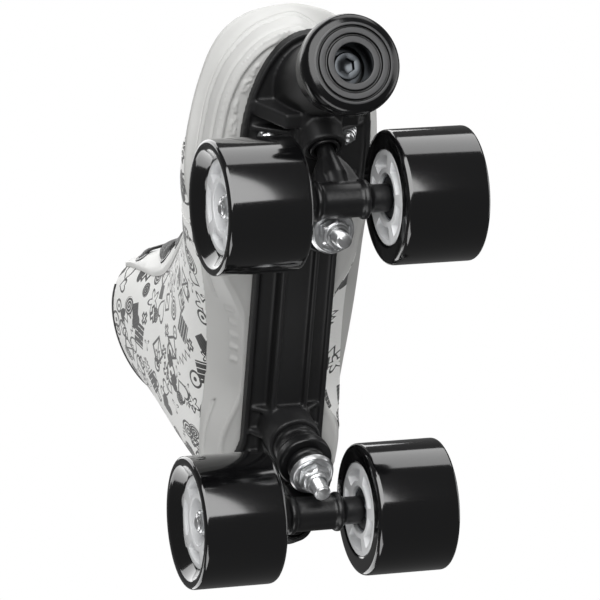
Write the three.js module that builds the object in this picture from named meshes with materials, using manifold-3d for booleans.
// A quad roller skate for the left foot: a laced textile boot on a nylon plate, with two
// sprung trucks, four wheels on eight ball bearings, and a bolted rubber toe stop.
// Millimetres, +Z up, the toe points along +X, and the skate stands on the plane Z = 0.
import * as THREE from "three";
import { mergeVertices } from "three/addons/utils/BufferGeometryUtils.js";
import Module from "manifold-3d";

const wasm = await Module();
wasm.setup();

// ---------------------------------------------------------------- driving dimensions
const GAP = 0.3; // between pieces that touch
const CUT = 1; // how far a cutter runs past the face it opens

// Wheels and bearings
const WHEEL_DIAMETER = 62;
const WHEEL_WIDTH = 40;
const TRACK = 84; // between the middle planes of a left and a right wheel
const WHEELBASE = 158;
const TYRE_EDGE = 2.5; // rounding of the tread's edges
const DISH_DIAMETER = 54; // mouth of the recess in a wheel's outer side
const DISH_DEPTH = 5.5;
const HUB_DIAMETER = 44;
const HUB_RECESS = 0.5; // hub below the tyre on the wheel's inner side
const HUB_WEB_BORE = 13;
const POCKETS = 5; // in each face of a hub
const POCKET_DEPTH = 3;
const POCKET_WALL = 2.6; // hub wall left inside and outside a pocket
const BEARING_DIAMETER = 22;
const BEARING_BORE = 8;
const BEARING_WIDTH = 7;
const INNER_SEAT = 1.5; // bearing below the hub's inner face
const OUTER_SEAT = 6.8; // bearing below the hub's outer face

// Axles and hangers
const AXLE_DIAMETER = 7.4;
const AXLE_NUT = { flats: 12, height: 6 };
const TUBE_DIAMETER = 16.6;
const TUBE_LENGTH = 26;
const COLLAR_DIAMETER = 18.6;
const COLLAR_WIDTH = 3;
const SLEEVE_DIAMETER = 13;
const YOKE_DIAMETER = 26; // the hanger's ring round the kingpin
const YOKE_THICKNESS = 6;
const YOKE_BORE = 12;
const YOKE_INBOARD = 19.4; // yoke's middle from the axle, towards the skate's middle
const YOKE_RISE = 17.5; // yoke's middle above the axle
const NECK_WIDTH = 18;
const NECK_CLEARANCE = 1.4; // between the hanger's neck and the cup washer

// Kingpin and what it holds, measured along its axis
const KINGPIN_DIAMETER = 8;
const KINGPIN_LEAN = 8; // degrees from upright, its foot towards the axle
const KINGPIN_TAIL = 30; // end of the thread below the yoke's middle
const UPPER_CUSHION = { height: 10.4, top: 22, waist: 20.4, foot: 23 };
const LOWER_CUSHION = { height: 8, top: 19, waist: 17.4, foot: 16.4 };
const CUP_WASHER = { diameter: 21.6, thickness: 1.4, rim: 2.4 };
const KINGPIN_NUT = { flats: 13, height: 8 };
const KINGPIN_HEAD = { flats: 11, height: 3.6, bore: 14.4 }; // bore of its place in the plate
const BOSS_DIAMETER = 25.4;

// Pivot: the ball on the hanger's arm and the cup that holds it
const PIVOT_OUTBOARD = 18; // ball's middle from the axle, away from the skate's middle
const PIVOT_RISE = 28; // ball's middle above the axle
const PIVOT_BALL = 9.4;
const PIVOT_NECK = 7.4;
const ARM_DIAMETER = 12;
const ARM_FLARE = 0.6; // share of the arm's length over which it grows to that
const CUP_DIAMETER = 14;
const CUP_DEPTH = 11;
const HOUSING_DIAMETER = 20;
const HOUSING_ROOF = 3.5; // over the closed end of the pivot cup

// Plate
const DECK_RISE = 54; // underside of the boot above the axles
const FLANGE_THICKNESS = 3.7;
const PLATE_TOE = 142; // plate's front end from the middle of the wheelbase
const PLATE_HEEL = -108;
const PLATE_BALL_HALF = 31.5;
const PLATE_WAIST_HALF = 19.6;
const PLATE_HEEL_HALF = 27;
const WAIST = { front: [28, 72], rear: [-84, -62] }; // where the flange widens from its waist
const ROUNDED = 84; // the flange's ends are rounded beyond this distance
const GUSSET = { x: 106, width: 7, depth: 20, reach: 0.86 }; // reach as a share of the flange
const BEAM_HALF = 9;
const KEEL_FRONT = 124;
const KEEL_DEPTH = 21; // of the web that joins the bosses, below the flange
const BEAM_DEPTH = 7.5;
const BEAM_WALL = 2.6;
const BEAM_GROOVE = 2.2;
const BOLT_DIAMETER = 5;
const BOLT_HEAD = { diameter: 11, height: 2 };
const BOLT_NUT = { flats: 8, height: 5 };
const BOLT_TAIL = 2.5; // thread below its nut
const BOLT_PLACES = { front: { x: 91, y: 18.5 }, rear: { x: -93, y: 16 } };

// Toe stop, measured along its axis from the face that meets the floor
const STOP_LEAN = 30; // degrees, its foot forward
const STOP_DIAMETER = 46.4;
const STOP_FACE = { x: 147.6, z: 26.6, diameter: 36 };
const STOP_HEIGHT = 24;
const STOP_BACK_DIAMETER = 40;
const STOP_BAND = { from: 4.4, to: 10.5, shoulder: 1.6 }; // where the stop is at its widest
const STOP_WAIST = 15; // back of the rounded part
const STOP_WELL = { diameter: 18.6, depth: 17 };
const STOP_BOLT = { diameter: 8, head: 13, headHeight: 6, socket: 6, length: 40 };
const STOP_WASHER = { diameter: 17.6, thickness: 1.6 };
const SOCKET_DIAMETER = 35; // the plate's boss behind the stop

// Boot
const SOLE_THICKNESS = 16;
const SOLE_TAPER = 4.5; // how far the sole's foot stands in from its upper edge
const ARCH = { medial: 9, lateral: 11, front: 27, back: -70, ease: 34 }; // scoops at the waist
const SHELL = 3; // textile and lining of the upper
const FOOTBED = 4;
const VAMP_BACK = 36; // seam between the vamp and the quarters
const CAP_EDGE = 77; // back edge of the rubber toe cap
const CAP_SETBACK = 0.8; // cap below the textile that laps over it
const CAP_THICKNESS = 2.6;
const THROAT = { front: 44, back: -60, halfFront: 9, halfBack: 15 }; // the laced opening
const FACING = { width: 11, thickness: 1.4 };
const TONGUE = { front: 52, back: -66, thickness: 6, half: 22, taper: 12, proud: 12 };
const PADDING = { thickness: 6, front: 132, back: 100 }; // lower edge's heights over the deck
const BACKSTAY = { thickness: 1.2, width: 26, front: -70 };
const LACE = { front: 30, back: -40, rows: 6, width: 8, thickness: 2.2 };

// ---------------------------------------------------------------- derived places
const WIDE = 400; // larger than the skate
const AXLE_Z = WHEEL_DIAMETER / 2;
const DECK_Z = AXLE_Z + DECK_RISE;
const SOLE_TOP = DECK_Z + SOLE_THICKNESS;
const FLANGE_Z = DECK_Z - GAP - FLANGE_THICKNESS;
const INNER_FACE = (TRACK - WHEEL_WIDTH) / 2;
const OUTER_FACE = (TRACK + WHEEL_WIDTH) / 2;
const HUB_INNER = INNER_FACE + HUB_RECESS;
const HUB_OUTER = OUTER_FACE - DISH_DEPTH;
const RAD = Math.PI / 180;
const LEFT = new THREE.Vector3(0, 1, 0);
const DOWN = new THREE.Vector3(0, 0, -1);

// ---------------------------------------------------------------- finishes
const FINISH = {
  urethane: { color: 0x0d0d0e, roughness: 0.22, metalness: 0 },
  nylonWhite: { color: 0xc9cacc, roughness: 0.45, metalness: 0 },
  nylonBlack: { color: 0x1b1b1c, roughness: 0.6, metalness: 0 },
  castBlack: { color: 0x161617, roughness: 0.4, metalness: 0.2 },
  zinc: { color: 0xbfc2c6, roughness: 0.28, metalness: 1 },
  bearingSteel: { color: 0x55585c, roughness: 0.35, metalness: 0.9 },
  cushion: { color: 0x141415, roughness: 0.5, metalness: 0 },
  stopRubber: { color: 0x101011, roughness: 0.35, metalness: 0 },
  soleRubber: { color: 0xd6d6d4, roughness: 0.6, metalness: 0 },
  capRubber: { color: 0xd9d9d8, roughness: 0.45, metalness: 0 },
  textile: { color: 0xe2e2e0, roughness: 0.85, metalness: 0 },
  synthetic: { color: 0xdededc, roughness: 0.5, metalness: 0 },
  lining: { color: 0x1a1a1b, roughness: 0.95, metalness: 0 },
  laceBlack: { color: 0x121213, roughness: 0.9, metalness: 0 },
};

// ---------------------------------------------------------------- solids
// A closed surface as a solid, whichever way its faces were wound.
function solidOf(geometry) {
  const bare = new THREE.BufferGeometry();
  bare.setAttribute("position", geometry.getAttribute("position"));
  if (geometry.index) bare.setIndex(geometry.index);
  const merged = mergeVertices(bare, 1e-4);
  const positions = merged.attributes.position.array;
  const faces = Uint32Array.from(merged.index.array);
  if (signedVolume(positions, faces) < 0) faces.reverse();
  return new wasm.Manifold(new wasm.Mesh({ numProp: 3, vertProperties: positions, triVerts: faces }));
}

function signedVolume(positions, faces) {
  const corner = (i) => new THREE.Vector3().fromArray(positions, 3 * i);
  let volume = 0;
  for (let i = 0; i < faces.length; i += 3) {
    const [a, b, c] = [0, 1, 2].map((k) => corner(faces[i + k]));
    volume += a.dot(b.cross(c)) / 6;
  }
  return volume;
}

function geometryOf(solid) {
  const mesh = solid.getMesh();
  const geometry = new THREE.BufferGeometry();
  geometry.setAttribute("position", new THREE.BufferAttribute(mesh.vertProperties, 3));
  geometry.setIndex(new THREE.BufferAttribute(mesh.triVerts, 1));
  geometry.computeVertexNormals();
  return geometry;
}

const join = (...solids) => solids.reduce((whole, piece) => whole.add(piece));
const cut = (solid, ...tools) => tools.reduce((whole, tool) => whole.subtract(tool), solid);

// A turned solid about the line from origin along direction; profile holds [radius, distance].
function turned(profile, origin, direction, sides = 14) {
  const points = profile.map(([radius, along]) => new THREE.Vector2(radius, along));
  const geometry = new THREE.LatheGeometry(points, sides);
  const turn = new THREE.Quaternion().setFromUnitVectors(new THREE.Vector3(0, 1, 0), direction);
  geometry.applyQuaternion(turn).translate(origin.x, origin.y, origin.z);
  return solidOf(geometry);
}

function rod(diameter, from, to, origin, direction, sides = 14) {
  const radius = diameter / 2;
  const profile = [[0, from], [radius, from], [radius, to], [0, to]];
  return turned(profile, origin, direction, sides);
}

function ring(outer, inner, from, to, origin, direction, sides = 14) {
  const [r, s] = [inner / 2, outer / 2];
  return turned([[r, from], [s, from], [s, to], [r, to], [r, from]], origin, direction, sides);
}

const hexRod = (flats, from, to, origin, direction) =>
  rod(flats / Math.cos(Math.PI / 6), from, to, origin, direction, 6);

function box(x0, x1, y0, y1, z0, z1) {
  const geometry = new THREE.BoxGeometry(x1 - x0, y1 - y0, z1 - z0);
  return solidOf(geometry.translate((x0 + x1) / 2, (y0 + y1) / 2, (z0 + z1) / 2));
}

// An outline of [x, y] points raised from z0 to z1.
function raised(outline, z0, z1) {
  const shape = new THREE.Shape(outline.map(([x, y]) => new THREE.Vector2(x, y)));
  const geometry = new THREE.ExtrudeGeometry(shape, { depth: z1 - z0, bevelEnabled: false });
  return solidOf(geometry.translate(0, 0, z0));
}

// An outline of [x, z] points, as thick across the skate as y0 to y1.
function across(outline, y0, y1) {
  const shape = new THREE.Shape(outline.map(([x, z]) => new THREE.Vector2(x, z)));
  const geometry = new THREE.ExtrudeGeometry(shape, { depth: y1 - y0, bevelEnabled: false });
  return solidOf(geometry.rotateX(Math.PI / 2).translate(0, y1, 0));
}

// A skin through rings with equal numbers of points, closed by a flat fan at each end.
function lofted(rings) {
  const count = rings[0].length;
  const points = rings.flat();
  const faces = [];
  for (let level = 0; level + 1 < rings.length; level++) {
    for (let i = 0; i < count; i++) {
      const a = level * count + i;
      const b = level * count + ((i + 1) % count);
      faces.push(a, b, a + count, b, b + count, a + count);
    }
  }
  const last = (rings.length - 1) * count;
  const middle = (ringPoints) =>
    ringPoints.reduce((sum, p) => sum.add(p), new THREE.Vector3()).divideScalar(count);
  points.push(middle(rings[0]), middle(rings[rings.length - 1]));
  for (let i = 0; i < count; i++) {
    const next = (i + 1) % count;
    faces.push(points.length - 2, next, i, points.length - 1, last + i, last + next);
  }
  const geometry = new THREE.BufferGeometry().setFromPoints(points);
  geometry.setIndex(faces);
  return solidOf(geometry);
}

// ---------------------------------------------------------------- model
const skate = new THREE.Group();

function add(name, solid, finish) {
  const mesh = new THREE.Mesh(geometryOf(solid), new THREE.MeshStandardMaterial(FINISH[finish]));
  mesh.name = name;
  skate.add(mesh);
}

// ---------------------------------------------------------------- wheels
const ENDS = { front: 1, rear: -1 };
const SIDES = { left: 1, right: -1 };
const axleX = (end) => (ENDS[end] * WHEELBASE) / 2;

function tyreProfile() {
  const tread = WHEEL_DIAMETER / 2;
  const bore = HUB_DIAMETER / 2;
  const lip = DISH_DIAMETER / 2;
  const soft = TYRE_EDGE * (1 - Math.SQRT1_2);
  return [
    [bore, INNER_FACE],
    [tread - TYRE_EDGE, INNER_FACE],
    [tread - soft, INNER_FACE + soft],
    [tread, INNER_FACE + TYRE_EDGE],
    [tread, OUTER_FACE - TYRE_EDGE],
    [tread - soft, OUTER_FACE - soft],
    [lip, OUTER_FACE],
    [bore, HUB_OUTER],
    [bore, INNER_FACE],
  ];
}

function hubProfile() {
  const seat = BEARING_DIAMETER / 2 + GAP / 2;
  const rim = HUB_DIAMETER / 2 - GAP / 2;
  const innerStep = HUB_INNER + INNER_SEAT + BEARING_WIDTH + GAP;
  const outerStep = HUB_OUTER - OUTER_SEAT - BEARING_WIDTH - GAP;
  return [
    [seat, HUB_INNER],
    [rim, HUB_INNER],
    [rim, HUB_OUTER],
    [seat, HUB_OUTER],
    [seat, outerStep],
    [HUB_WEB_BORE / 2, outerStep],
    [HUB_WEB_BORE / 2, innerStep],
    [seat, innerStep],
    [seat, HUB_INNER],
  ];
}

// One pocket of a hub's face, as a sector between the bearing seat and the rim.
function pocketOutline(turn) {
  const inner = BEARING_DIAMETER / 2 + POCKET_WALL;
  const outer = HUB_DIAMETER / 2 - POCKET_WALL;
  const half = Math.PI / POCKETS - POCKET_WALL / inner / 1.4;
  const steps = [-1, 1].map((k) => turn + k * half);
  const arc = (radius, angles) => angles.map((a) => [radius * Math.cos(a), radius * Math.sin(a)]);
  return [...arc(outer, steps), ...arc(inner, [...steps].reverse())];
}

function hubPockets(x, from, to) {
  return Array.from({ length: POCKETS }, (_, i) =>
    across(pocketOutline(((i + 0.5) * 2 * Math.PI) / POCKETS), from, to)
      .translate([x, 0, AXLE_Z]),
  );
}

function addWheel(end, side) {
  const name = `${end}_${side}`;
  const sign = SIDES[side];
  const middle = new THREE.Vector3(axleX(end), 0, AXLE_Z);
  const outward = new THREE.Vector3(0, sign, 0);
  const facePockets = (from, to) =>
    hubPockets(middle.x, Math.min(sign * from, sign * to), Math.max(sign * from, sign * to));
  add(`${name}_tyre`, turned(tyreProfile(), middle, outward, 28), "urethane");
  const hub = cut(
    turned(hubProfile(), middle, outward, 20),
    ...facePockets(HUB_INNER - CUT, HUB_INNER + POCKET_DEPTH),
    ...facePockets(HUB_OUTER - POCKET_DEPTH, HUB_OUTER + CUT),
  );
  add(`${name}_hub`, hub, "nylonWhite");
  const bearing = (from) =>
    ring(BEARING_DIAMETER - GAP, BEARING_BORE + GAP, from, from + BEARING_WIDTH, middle, outward);
  add(`${name}_bearing_inner`, bearing(HUB_INNER + INNER_SEAT), "bearingSteel");
  add(`${name}_bearing_outer`, bearing(HUB_OUTER - OUTER_SEAT - BEARING_WIDTH), "bearingSteel");
}

// ---------------------------------------------------------------- trucks
const nutFace = HUB_OUTER - OUTER_SEAT + GAP;

function truckFrame(end) {
  const sign = ENDS[end];
  const lean = KINGPIN_LEAN * RAD;
  const axle = new THREE.Vector3(axleX(end), 0, AXLE_Z);
  const yoke = axle.clone().add(new THREE.Vector3(-sign * YOKE_INBOARD, 0, YOKE_RISE));
  const ball = axle.clone().add(new THREE.Vector3(sign * PIVOT_OUTBOARD, 0, PIVOT_RISE));
  const kingpin = new THREE.Vector3(sign * Math.sin(lean), 0, -Math.cos(lean));
  const arm = axle.clone().sub(ball);
  return { sign, axle, yoke, ball, kingpin, armLength: arm.length(), arm: arm.normalize() };
}

// Distances below the yoke's middle, along the kingpin, at which its stack of pieces meets.
const YOKE_HALF = YOKE_THICKNESS / 2;
const STACK = {
  upperFoot: -YOKE_HALF - GAP,
  upperTop: -YOKE_HALF - GAP - UPPER_CUSHION.height,
  lowerTop: YOKE_HALF + GAP,
  lowerFoot: YOKE_HALF + GAP + LOWER_CUSHION.height,
};
STACK.boss = STACK.upperTop - GAP;
STACK.washerTop = STACK.lowerFoot + GAP;
STACK.nutTop = STACK.washerTop + CUP_WASHER.thickness + GAP;
STACK.headFoot = STACK.boss - HOUSING_DIAMETER + KINGPIN_HEAD.height;

// A point in the plane of symmetry, so far from the kingpin towards the axle and so far down it.
function besideKingpin({ yoke, kingpin }, out, down) {
  const towards = new THREE.Vector3(-kingpin.z * Math.sign(kingpin.x), 0, Math.abs(kingpin.x));
  const point = yoke.clone().addScaledVector(towards, out).addScaledVector(kingpin, down);
  return [point.x, point.z];
}

function hangerNeck(frame) {
  const { sign, axle } = frame;
  const tube = TUBE_DIAMETER / 2;
  const yoke = YOKE_DIAMETER / 2;
  const clear = CUP_WASHER.diameter / 2 + NECK_CLEARANCE;
  const outline = [
    besideKingpin(frame, yoke / 2, -YOKE_HALF / 2),
    besideKingpin(frame, yoke / 2, YOKE_HALF / 2),
    besideKingpin(frame, yoke * 0.9, YOKE_HALF * 0.9),
    besideKingpin(frame, clear, LOWER_CUSHION.height),
    [axle.x - sign * tube * 0.45, axle.z + tube * 0.55],
    [axle.x, axle.z],
    [axle.x + sign * tube * 0.75, axle.z + tube * 0.6],
    [axle.x + sign * tube * 0.1, axle.z + tube * 1.5],
    besideKingpin(frame, yoke, -YOKE_HALF * 0.8),
  ];
  return across(outline, -NECK_WIDTH / 2, NECK_WIDTH / 2);
}

function hangerBody(frame) {
  const { axle, yoke, ball, kingpin, arm, armLength } = frame;
  const sleeve = HUB_INNER + INNER_SEAT - GAP;
  const tube = TUBE_LENGTH / 2;
  const flare = [ARM_DIAMETER / 2, armLength * ARM_FLARE];
  const armProfile = [[0, 0], [PIVOT_NECK / 2, 0], flare, [0, armLength]];
  const body = join(
    rod(SLEEVE_DIAMETER, -sleeve, sleeve, axle, LEFT),
    rod(TUBE_DIAMETER, -tube, tube, axle, LEFT),
    rod(COLLAR_DIAMETER, tube - COLLAR_WIDTH, tube, axle, LEFT),
    rod(COLLAR_DIAMETER, -tube, COLLAR_WIDTH - tube, axle, LEFT),
    rod(YOKE_DIAMETER, -YOKE_HALF, YOKE_HALF, yoke, kingpin),
    hangerNeck(frame),
    turned(armProfile, ball, arm, 12),
    solidOf(new THREE.SphereGeometry(PIVOT_BALL / 2, 10, 6).translate(ball.x, ball.y, ball.z)),
  );
  const bore = rod(AXLE_DIAMETER + GAP, -sleeve - CUT, sleeve + CUT, axle, LEFT);
  return cut(body, bore, rod(YOKE_BORE, -YOKE_HALF - CUT, YOKE_HALF + CUT, yoke, kingpin));
}

function cushion({ height, top, waist, foot }, from, bore) {
  return [
    [bore, from],
    [top / 2, from],
    [top / 2, from + height * 0.3],
    [waist / 2, from + height * 0.42],
    [waist / 2, from + height * 0.6],
    [foot / 2, from + height * 0.72],
    [foot / 2, from + height],
    [bore, from + height],
    [bore, from],
  ];
}

function cupWasher(from) {
  const { diameter, thickness, rim } = CUP_WASHER;
  const bore = KINGPIN_DIAMETER / 2 + GAP;
  return [
    [bore, from],
    [diameter / 2, from],
    [diameter / 2 - thickness, from + rim],
    [diameter / 2 - 2 * thickness, from + rim],
    [diameter / 2 - 2 * thickness, from + thickness],
    [bore, from + thickness],
    [bore, from],
  ];
}

function addTruck(end) {
  const frame = truckFrame(end);
  const { axle, yoke, ball, kingpin, arm } = frame;
  const tip = nutFace + AXLE_NUT.height + CUT;
  const bore = KINGPIN_DIAMETER / 2 + GAP;
  add(`${end}_hanger`, hangerBody(frame), "castBlack");
  add(`${end}_axle`, rod(AXLE_DIAMETER, -tip, tip, axle, LEFT), "zinc");
  for (const side of Object.keys(SIDES)) {
    const outward = new THREE.Vector3(0, SIDES[side], 0);
    const nut = hexRod(AXLE_NUT.flats, nutFace, nutFace + AXLE_NUT.height, axle, outward);
    const thread = rod(AXLE_DIAMETER + GAP, nutFace - CUT, tip + CUT, axle, outward);
    add(`${end}_${side}_axle_nut`, cut(nut, thread), "zinc");
  }
  const headTop = STACK.headFoot - KINGPIN_HEAD.height;
  const shank = rod(KINGPIN_DIAMETER, headTop + CUT, KINGPIN_TAIL, yoke, kingpin);
  const head = hexRod(KINGPIN_HEAD.flats, headTop, STACK.headFoot, yoke, kingpin);
  add(`${end}_kingpin`, join(shank, head), "zinc");
  const upper = cushion(UPPER_CUSHION, STACK.upperTop, bore);
  const lower = cushion(LOWER_CUSHION, STACK.lowerTop, bore);
  add(`${end}_upper_cushion`, turned(upper, yoke, kingpin), "cushion");
  add(`${end}_lower_cushion`, turned(lower, yoke, kingpin), "cushion");
  add(`${end}_cup_washer`, turned(cupWasher(STACK.washerTop), yoke, kingpin, 16), "zinc");
  const nut = hexRod(KINGPIN_NUT.flats, STACK.nutTop, STACK.nutTop + KINGPIN_NUT.height, yoke, kingpin);
  const thread = rod(2 * bore, STACK.nutTop - CUT, KINGPIN_TAIL + CUT, yoke, kingpin);
  add(`${end}_kingpin_nut`, cut(nut, thread), "zinc");
  const cup = rod(CUP_DIAMETER, -CUP_DEPTH / 2, CUP_DEPTH / 2, ball, arm);
  const seat = PIVOT_BALL / 2 + GAP;
  const mouth = [[0, 0], [seat, 0], [seat + 2 * GAP, CUP_DEPTH / 2 + CUT], [0, CUP_DEPTH / 2 + CUT]];
  const socket = solidOf(new THREE.SphereGeometry(seat, 10, 6).translate(ball.x, ball.y, ball.z));
  add(`${end}_pivot_cup`, cut(cup, socket, turned(mouth, ball, arm, 10)), "cushion");
}

// ---------------------------------------------------------------- plate
const stopAxis = new THREE.Vector3(-Math.sin(STOP_LEAN * RAD), 0, Math.cos(STOP_LEAN * RAD));
const stopFace = new THREE.Vector3(STOP_FACE.x, 0, STOP_FACE.z);

// Half width of the flange at a station along the skate, with eased shoulders.
function flangeHalf(x) {
  const ease = (from, to) => THREE.MathUtils.smoothstep(x, from, to);
  const front = (PLATE_BALL_HALF - PLATE_WAIST_HALF) * ease(...WAIST.front);
  const rear = (PLATE_HEEL_HALF - PLATE_WAIST_HALF) * (1 - ease(...WAIST.rear));
  return PLATE_WAIST_HALF + front + rear;
}

function flangeOutline() {
  const steps = 6; // in each rounded quarter
  const stations = 14; // along each side
  const arc = (start, end) =>
    Array.from({ length: steps }, (_, i) => {
      const angle = (Math.PI / 2) * ((i + 1) / steps);
      return [start + (end - start) * Math.sin(angle), flangeHalf(start) * Math.cos(angle) ** 0.9];
    });
  const side = Array.from({ length: stations }, (_, i) => ROUNDED * ((2 * i) / (stations - 1) - 1));
  const left = [
    ...arc(-ROUNDED, PLATE_HEEL).reverse(),
    ...side.map((x) => [x, flangeHalf(x)]),
    ...arc(ROUNDED, PLATE_TOE),
  ];
  const right = left.slice(1, -1).reverse().map(([x, y]) => [x, -y]);
  return [...left, ...right];
}

function beam() {
  const foot = FLANGE_Z - BEAM_DEPTH;
  const reach = WHEELBASE / 2 - YOKE_INBOARD;
  const body = box(-reach, reach, -BEAM_HALF, BEAM_HALF, foot, FLANGE_Z + CUT);
  const half = BEAM_HALF - BEAM_WALL;
  const end = reach - BOSS_DIAMETER / 2 - BEAM_WALL;
  return cut(body, box(-end, end, -half, half, foot - CUT, foot + BEAM_GROOVE));
}

function truckMount(end) {
  const { sign, yoke, ball, kingpin, arm } = truckFrame(end);
  const half = HOUSING_DIAMETER / 2;
  const top = DECK_Z;
  const boss = rod(BOSS_DIAMETER, STACK.boss - DECK_RISE, STACK.boss, yoke, kingpin, 18);
  const housing = rod(HOUSING_DIAMETER, -CUP_DEPTH / 2 - HOUSING_ROOF, CUP_DEPTH / 2 - CUT, ball, arm, 16);
  const web = across(
    [
      [yoke.x, top],
      [yoke.x + sign * half, FLANGE_Z - KEEL_DEPTH * 0.7],
      [ball.x - sign * half * 0.6, ball.z + half * 0.3],
      [ball.x + sign * half * 0.5, ball.z + half * 0.5],
      [ball.x + sign * half * 0.9, top],
    ],
    -BEAM_HALF,
    BEAM_HALF,
  );
  return [boss, housing, web];
}

function truckBores(end) {
  const { yoke, ball, kingpin, arm } = truckFrame(end);
  const past = DECK_RISE;
  return [
    rod(KINGPIN_DIAMETER + 2 * GAP, -past, STACK.boss + CUT, yoke, kingpin),
    rod(KINGPIN_HEAD.bore, -past, STACK.headFoot + GAP, yoke, kingpin),
    rod(CUP_DIAMETER + 2 * GAP, -CUP_DEPTH / 2 - GAP, past, ball, arm),
  ];
}

const boltSpots = () =>
  Object.entries(BOLT_PLACES).flatMap(([end, { x, y }]) =>
    Object.entries(SIDES).map(([side, sign]) => ({ name: `${end}_${side}`, x, y: sign * y })),
  );

function gusset(side) {
  const { x, width, depth, reach: share } = GUSSET;
  const reach = flangeHalf(x) * share;
  const shape = new THREE.Shape([
    new THREE.Vector2(0, FLANGE_Z + CUT),
    new THREE.Vector2(0, FLANGE_Z - depth),
    new THREE.Vector2(SOCKET_DIAMETER / 2, FLANGE_Z - depth),
    new THREE.Vector2(reach, FLANGE_Z - CUT),
    new THREE.Vector2(reach, FLANGE_Z + CUT),
  ]);
  const geometry = new THREE.ExtrudeGeometry(shape, { depth: width, bevelEnabled: false });
  geometry.rotateX(Math.PI / 2).rotateZ((side * Math.PI) / 2).translate(x, 0, 0);
  return solidOf(geometry);
}

function plate() {
  const deck = DECK_Z - GAP;
  const socketFrom = STOP_HEIGHT + GAP;
  const keelBack = WHEELBASE / 2 + PIVOT_OUTBOARD;
  const body = join(
    raised(flangeOutline(), FLANGE_Z, deck),
    beam(),
    ...truckMount("front"),
    ...truckMount("rear"),
    rod(SOCKET_DIAMETER, socketFrom, WHEEL_DIAMETER + socketFrom, stopFace, stopAxis, 24),
    gusset(1),
    gusset(-1),
    box(keelBack, KEEL_FRONT, -BEAM_HALF, BEAM_HALF, FLANGE_Z - KEEL_DEPTH, FLANGE_Z + CUT),
  );
  const holes = boltSpots().map(({ x, y }) =>
    rod(BOLT_DIAMETER + GAP * 2, 0, DECK_RISE, new THREE.Vector3(x, y, DECK_Z + CUT), DOWN, 10),
  );
  const above = slab(-WIDE, WIDE, deck, WIDE);
  const boreEnd = STOP_WELL.depth + STOP_BOLT.length;
  const stopBore = rod(STOP_BOLT.diameter + 2 * GAP, 0, boreEnd, stopFace, stopAxis);
  return cut(body, above, ...truckBores("front"), ...truckBores("rear"), ...holes, stopBore);
}

function addMountingBolts() {
  for (const { name, x, y } of boltSpots()) {
    const top = new THREE.Vector3(x, y, SOLE_TOP - GAP);
    const nutTop = top.z - FLANGE_Z + GAP;
    const tail = nutTop + BOLT_NUT.height + BOLT_TAIL;
    const bolt = join(
      rod(BOLT_DIAMETER, 0, tail, top, DOWN, 10),
      rod(BOLT_HEAD.diameter, 0, BOLT_HEAD.height, top, DOWN, 10),
    );
    add(`${name}_mounting_bolt`, bolt, "zinc");
    const nut = hexRod(BOLT_NUT.flats, nutTop, nutTop + BOLT_NUT.height, top, DOWN);
    const thread = rod(BOLT_DIAMETER + GAP * 2, nutTop - CUT, tail + CUT, top, DOWN, 10);
    add(`${name}_mounting_nut`, cut(nut, thread), "zinc");
  }
}

// ---------------------------------------------------------------- toe stop
function stopProfile() {
  const face = STOP_FACE.diameter / 2;
  const widest = STOP_DIAMETER / 2;
  const back = STOP_BACK_DIAMETER / 2;
  const well = STOP_WELL.diameter / 2;
  const bore = STOP_BOLT.diameter / 2 + GAP;
  return [
    [well, 0],
    [face, 0],
    [widest - STOP_BAND.shoulder, STOP_BAND.shoulder],
    [widest, STOP_BAND.from],
    [widest, STOP_BAND.to],
    [back, STOP_WAIST],
    [back, STOP_HEIGHT],
    [bore, STOP_HEIGHT],
    [bore, STOP_WELL.depth],
    [well, STOP_WELL.depth],
    [well, 0],
  ];
}

function addToeStop() {
  const { diameter, head, headHeight, socket, length } = STOP_BOLT;
  const washerBack = STOP_WELL.depth - GAP;
  const washerFoot = washerBack - STOP_WASHER.thickness;
  const headFoot = washerFoot - GAP;
  add("toe_stop", turned(stopProfile(), stopFace, stopAxis, 26), "stopRubber");
  const bore = diameter + 2 * GAP;
  const washer = ring(STOP_WASHER.diameter, bore, washerFoot, washerBack, stopFace, stopAxis);
  add("toe_stop_washer", washer, "zinc");
  const bolt = join(
    rod(diameter, headFoot, headFoot + length, stopFace, stopAxis),
    rod(head, headFoot - headHeight, headFoot, stopFace, stopAxis),
  );
  const headTop = headFoot - headHeight;
  const hexSocket = hexRod(socket, headTop - CUT, headTop + headHeight / 2, stopFace, stopAxis);
  add("toe_stop_bolt", cut(bolt, hexSocket), "zinc");
}

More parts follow.
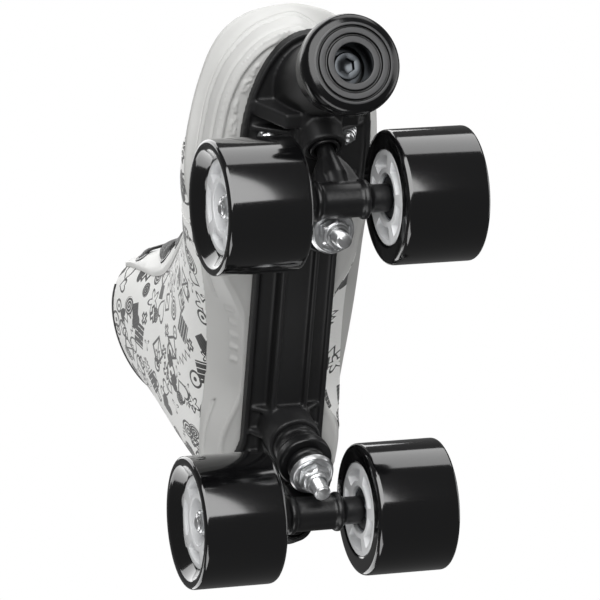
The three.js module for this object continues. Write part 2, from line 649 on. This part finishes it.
// ---------------------------------------------------------------- boot form
// Sections of the boot, from the toe round the heel to the rim. Each lies in a plane across
// the skate, from a top point to a foot point [x, height over the deck]. half is its half
// width, middle its offset to the left, and crown and feather shape its top and its foot.
const SECTIONS = [
  { top: [146, 17], foot: [146, 12], half: 5, middle: -7, crown: 0.5, feather: 0.5 },
  { top: [142.5, 27], foot: [144.5, 8], half: 17, middle: -7, crown: 0.5, feather: 0.35 },
  { top: [133, 37], foot: [136, 6], half: 30, middle: -6.5, crown: 0.45, feather: 0.25 },
  { top: [116, 45], foot: [118, 6], half: 39, middle: -5, crown: 0.45, feather: 0.22 },
  { top: [92, 52], foot: [92, 6], half: 44.5, middle: -4.5, crown: 0.48, feather: 0.2 },
  { top: [64, 63], foot: [62, 6], half: 46, middle: -3.5, crown: 0.5, feather: 0.2 },
  { top: [38, 81], foot: [30, 6], half: 43, middle: -0.5, crown: 0.5, feather: 0.22 },
  { top: [15, 101], foot: [-6, 6], half: 40.2, middle: 2.2, crown: 0.5, feather: 0.24 },
  { top: [-4, 118], foot: [-46, 6], half: 38.7, middle: 2.7, crown: 0.48, feather: 0.28 },
  { top: [-17, 131], foot: [-86, 6], half: 37.5, middle: 2.5, crown: 0.44, feather: 0.34 },
  { top: [-26, 143], foot: [-107, 18], half: 35.5, middle: 1.5, crown: 0.4, feather: 0.42 },
  { top: [-34, 155], foot: [-112, 56], half: 34, middle: 0.5, crown: 0.35, feather: 0.48 },
  { top: [-41, 166], foot: [-110, 100], half: 33.5, middle: 0, crown: 0.3, feather: 0.5 },
  { top: [-46, 173], foot: [-111, 142], half: 33.5, middle: 0, crown: 0.27, feather: 0.5 },
];
const RIM_FRONT = -56; // the laced opening runs out through the front of the rim
const SECTION_STEPS = 2; // rings from one section to the next
const SIDE_POINTS = 9; // points on each side of a ring
const RIM_LEAN = 0.25; // how far the form leans back for each millimetre above the rim
const PAST_RIM = 12; // how far the form that hollows a layer runs past the rim

// A section between two neighbours, on a Catmull-Rom spline through every number in it.
function sectionAt(place) {
  const last = SECTIONS.length - 1;
  const at = (i) => {
    const { top, foot, half, middle, crown, feather } = SECTIONS[THREE.MathUtils.clamp(i, 0, last)];
    return [...top, ...foot, half, middle, crown, feather];
  };
  const i = Math.min(Math.floor(place), last - 1);
  const t = place - i;
  const [a, b, c, d] = [at(i - 1), at(i), at(i + 1), at(i + 2)];
  return b.map((v, k) => {
    const bend = 2 * a[k] - 5 * v + 4 * c[k] - d[k];
    return v + 0.5 * t * (c[k] - a[k] + t * (bend + t * (3 * (v - c[k]) + d[k] - a[k])));
  });
}

// The ring of one section, drawn in by inset (a negative inset stands proud).
function bootRing(place, inset) {
  const [topX, topH, footX, footH, half, middle, crown, feather] = sectionAt(place);
  const top = new THREE.Vector3(topX, 0, DECK_Z + topH);
  const foot = new THREE.Vector3(footX, 0, DECK_Z + footH);
  const down = foot.clone().sub(top).normalize();
  top.addScaledVector(down, inset);
  foot.addScaledVector(down, -inset);
  const peak = crown / (crown + feather);
  const widest = peak ** crown * (1 - peak) ** feather;
  const width = (p) => ((half - inset) * p ** crown * (1 - p) ** feather) / widest;
  return Array.from({ length: 2 * SIDE_POINTS }, (_, k) => {
    const p = (1 - Math.cos((Math.PI * k) / SIDE_POINTS)) / 2;
    const side = k < SIDE_POINTS ? 1 : -1;
    const point = top.clone().lerp(foot, p);
    point.y = middle + side * width(THREE.MathUtils.clamp(p, 0, 1));
    return point;
  });
}

// The boot's form as a solid, from a first section to the rim, drawn out past the rim by rise.
function bootForm(inset, { first = 0, rise = 0 } = {}) {
  const last = SECTIONS.length - 1;
  const count = Math.round((last - first) * SECTION_STEPS);
  const rings = Array.from({ length: count + 1 }, (_, i) =>
    bootRing(first + ((last - first) * i) / count, inset),
  );
  if (rise > 0) {
    const rim = rings[rings.length - 1];
    rings.push(rim.map((p) => p.clone().add(new THREE.Vector3(-rise * RIM_LEAN, 0, rise))));
  }
  return lofted(rings);
}

const slab = (x0, x1, z0, z1) => box(x0, x1, -WIDE, WIDE, z0, z1);
const INSTEP_Z = SOLE_TOP + 30; // below every part of the throat, above the sides of the sole
const strake = (outline) => raised(outline, INSTEP_Z, WIDE);

// A layer of the boot's wall between two insets, open at the rim and the foot.
function layer(outer, inner, rise = 0) {
  return cut(
    bootForm(outer, { rise }),
    bootForm(inner, { first: 1, rise: rise + PAST_RIM }),
    slab(-WIDE, WIDE, 0, SOLE_TOP + GAP),
  );
}

// ---------------------------------------------------------------- sole
const SOLE_OUTLINE = [
  [145.5, -7], [140, -24], [127, -36.5], [112, -43], [96, -46], [74, -47.5], [48, -45.5],
  [24, -41], [-2, -37], [-30, -34.5], [-58, -35], [-84, -33], [-101, -24], [-109, -9],
  [-109, 9], [-101, 24], [-84, 33], [-58, 34.5], [-30, 33], [-2, 33], [24, 35], [48, 38],
  [74, 38.5], [96, 36], [114, 29], [130, 17], [141, 4],
];

const SOLE_POINTS = 54;

// How far the sole's edge stands in at a height, more so in the scoops of the arch.
function soleInset(x, side, height) {
  const up = height / SOLE_THICKNESS;
  const rise = THREE.MathUtils.smoothstep(x, ARCH.back, ARCH.back + ARCH.ease);
  const fall = 1 - THREE.MathUtils.smoothstep(x, ARCH.front - ARCH.ease, ARCH.front);
  const scoop = (side > 0 ? ARCH.lateral : ARCH.medial) * rise * fall;
  return SOLE_TAPER * (1 - up) ** 1.6 + scoop * (1 - up ** 2.2);
}

function soleRing(points, height) {
  return points.map((p, i) => {
    const before = points[(i + points.length - 1) % points.length];
    const after = points[(i + 1) % points.length];
    const along = after.clone().sub(before).normalize();
    const inset = soleInset(p.x, p.y, height);
    return new THREE.Vector3(p.x + along.y * inset, p.y - along.x * inset, DECK_Z + height);
  });
}

function outsole() {
  const corners = SOLE_OUTLINE.map(([x, y]) => new THREE.Vector3(x, y, 0));
  const points = new THREE.CatmullRomCurve3(corners, true).getSpacedPoints(SOLE_POINTS).slice(0, -1);
  const body = lofted([0, 4, 9, SOLE_THICKNESS].map((height) => soleRing(points, height)));
  const holes = boltSpots().flatMap(({ x, y }) => {
    const top = new THREE.Vector3(x, y, SOLE_TOP);
    return [
      rod(BOLT_DIAMETER + 2 * GAP, -CUT, SOLE_THICKNESS + CUT, top, DOWN, 10),
      rod(BOLT_HEAD.diameter + 2 * GAP, -CUT, BOLT_HEAD.height + 2 * GAP, top, DOWN, 10),
    ];
  });
  return cut(body, ...holes);
}

// ---------------------------------------------------------------- upper
// Outline of the laced opening seen from above, made wider all round by margin.
function throatOutline(margin) {
  const { front, back, halfFront, halfBack } = THROAT;
  const arc = Array.from({ length: 7 }, (_, i) => {
    const angle = (Math.PI * i) / 6 - Math.PI / 2;
    const radius = halfFront + margin;
    return [front - halfFront + radius * Math.cos(angle), radius * Math.sin(angle)];
  });
  return [[back, -halfBack - margin], ...arc, [back, halfBack + margin]];
}

function halfSpace(side, from) {
  return side > 0 ? box(-WIDE, WIDE, from, WIDE, 0, WIDE) : box(-WIDE, WIDE, -WIDE, -from, 0, WIDE);
}

// The textile wall, without the cap's place and the laced opening.
const textile = cut(
  layer(0, SHELL),
  slab(CAP_EDGE, WIDE, 0, WIDE),
  strake(throatOutline(0)).subtract(slab(-WIDE, RIM_FRONT, 0, WIDE)),
);

const vamp = () => textile.intersect(slab(VAMP_BACK + GAP, WIDE, 0, WIDE));

const quarter = (side) =>
  textile.intersect(slab(-WIDE, VAMP_BACK, 0, WIDE)).intersect(halfSpace(side, GAP / 2));

const toeCap = () =>
  layer(CAP_SETBACK, CAP_SETBACK + CAP_THICKNESS).intersect(slab(CAP_EDGE + GAP, WIDE, 0, WIDE));

function facing(side) {
  const band = strake(throatOutline(FACING.width))
    .subtract(strake(throatOutline(0)))
    .intersect(slab(RIM_FRONT, WIDE, 0, WIDE))
    .intersect(halfSpace(side, GAP));
  return layer(-GAP - FACING.thickness, -GAP).intersect(band);
}

function tongueOutline(margin) {
  const half = TONGUE.half + margin;
  const front = TONGUE.front + margin;
  const shoulder = front - TONGUE.taper;
  const side = [[TONGUE.back, half], [shoulder, half * 0.8], [front, half * 0.4]];
  return [...side.map(([x, y]) => [x, -y]), ...side.reverse()];
}

// The tongue's place in the collar, wider all round by margin.
const tongueColumn = (margin) =>
  strake(tongueOutline(margin)).intersect(slab(RIM_FRONT - TONGUE.thickness - margin, WIDE, 0, WIDE));

const tongue = () =>
  layer(SHELL + GAP, SHELL + GAP + TONGUE.thickness, TONGUE.proud).intersect(tongueColumn(0));

function padding() {
  const front = [TONGUE.back, DECK_Z + PADDING.front];
  const back = [PLATE_HEEL, DECK_Z + PADDING.back];
  const outline = [front, [0, front[1]], [0, WIDE], [-WIDE, WIDE], [-WIDE, back[1]], back];
  const above = across(outline, -WIDE, WIDE);
  return layer(SHELL + GAP, SHELL + GAP + PADDING.thickness)
    .intersect(above)
    .subtract(tongueColumn(GAP));
}

const footbed = () =>
  bootForm(Math.max(SHELL, CAP_SETBACK + CAP_THICKNESS) + GAP, { first: 1 })
    .intersect(slab(-WIDE, WIDE, SOLE_TOP + GAP, SOLE_TOP + GAP + FOOTBED));

function backstay() {
  const half = BACKSTAY.width / 2;
  return layer(-GAP - BACKSTAY.thickness, -GAP)
    .intersect(box(-WIDE, BACKSTAY.front, -half, half, 0, WIDE));
}

// The lace as crossed straps over the facings, one pair for each step between rows.
function lace() {
  const middle = FACING.width / 2;
  const reach = (x) =>
    middle + THREE.MathUtils.mapLinear(x, LACE.front, LACE.back, THROAT.halfFront, THROAT.halfBack);
  const row = (i) => THREE.MathUtils.lerp(LACE.front, LACE.back, i / (LACE.rows - 1));
  const half = LACE.width / 2;
  const strap = (x0, y0, x1, y1) =>
    strake([[x0 + half, y0], [x0 - half, y0], [x1 - half, y1], [x1 + half, y1]]);
  const end = reach(LACE.front);
  const straps = [box(LACE.front - half, LACE.front + half, -end, end, INSTEP_Z, WIDE)];
  for (let i = 0; i + 1 < LACE.rows; i++) {
    for (const side of [1, -1]) {
      straps.push(strap(row(i), side * reach(row(i)), row(i + 1), -side * reach(row(i + 1))));
    }
  }
  const under = -2 * GAP - FACING.thickness;
  return layer(under - LACE.thickness, under).intersect(join(...straps));
}

// ---------------------------------------------------------------- assembly
add("plate", plate(), "nylonBlack");
addMountingBolts();
addToeStop();
for (const end of Object.keys(ENDS)) {
  addTruck(end);
  for (const side of Object.keys(SIDES)) addWheel(end, side);
}
add("outsole", outsole(), "soleRubber");
add("footbed", footbed(), "lining");
add("vamp", vamp(), "textile");
add("quarter_left", quarter(1), "textile");
add("quarter_right", quarter(-1), "textile");
add("toe_cap", toeCap(), "capRubber");
add("facing_left", facing(1), "synthetic");
add("facing_right", facing(-1), "synthetic");
add("backstay", backstay(), "synthetic");
add("tongue", tongue(), "lining");
add("collar_padding", padding(), "lining");
add("lace", lace(), "laceBlack");

// The frame's origin lies under the middle of the skate's length.
const extent = new THREE.Box3().setFromObject(skate);
skate.position.x = -(extent.min.x + extent.max.x) / 2;

export default skate;
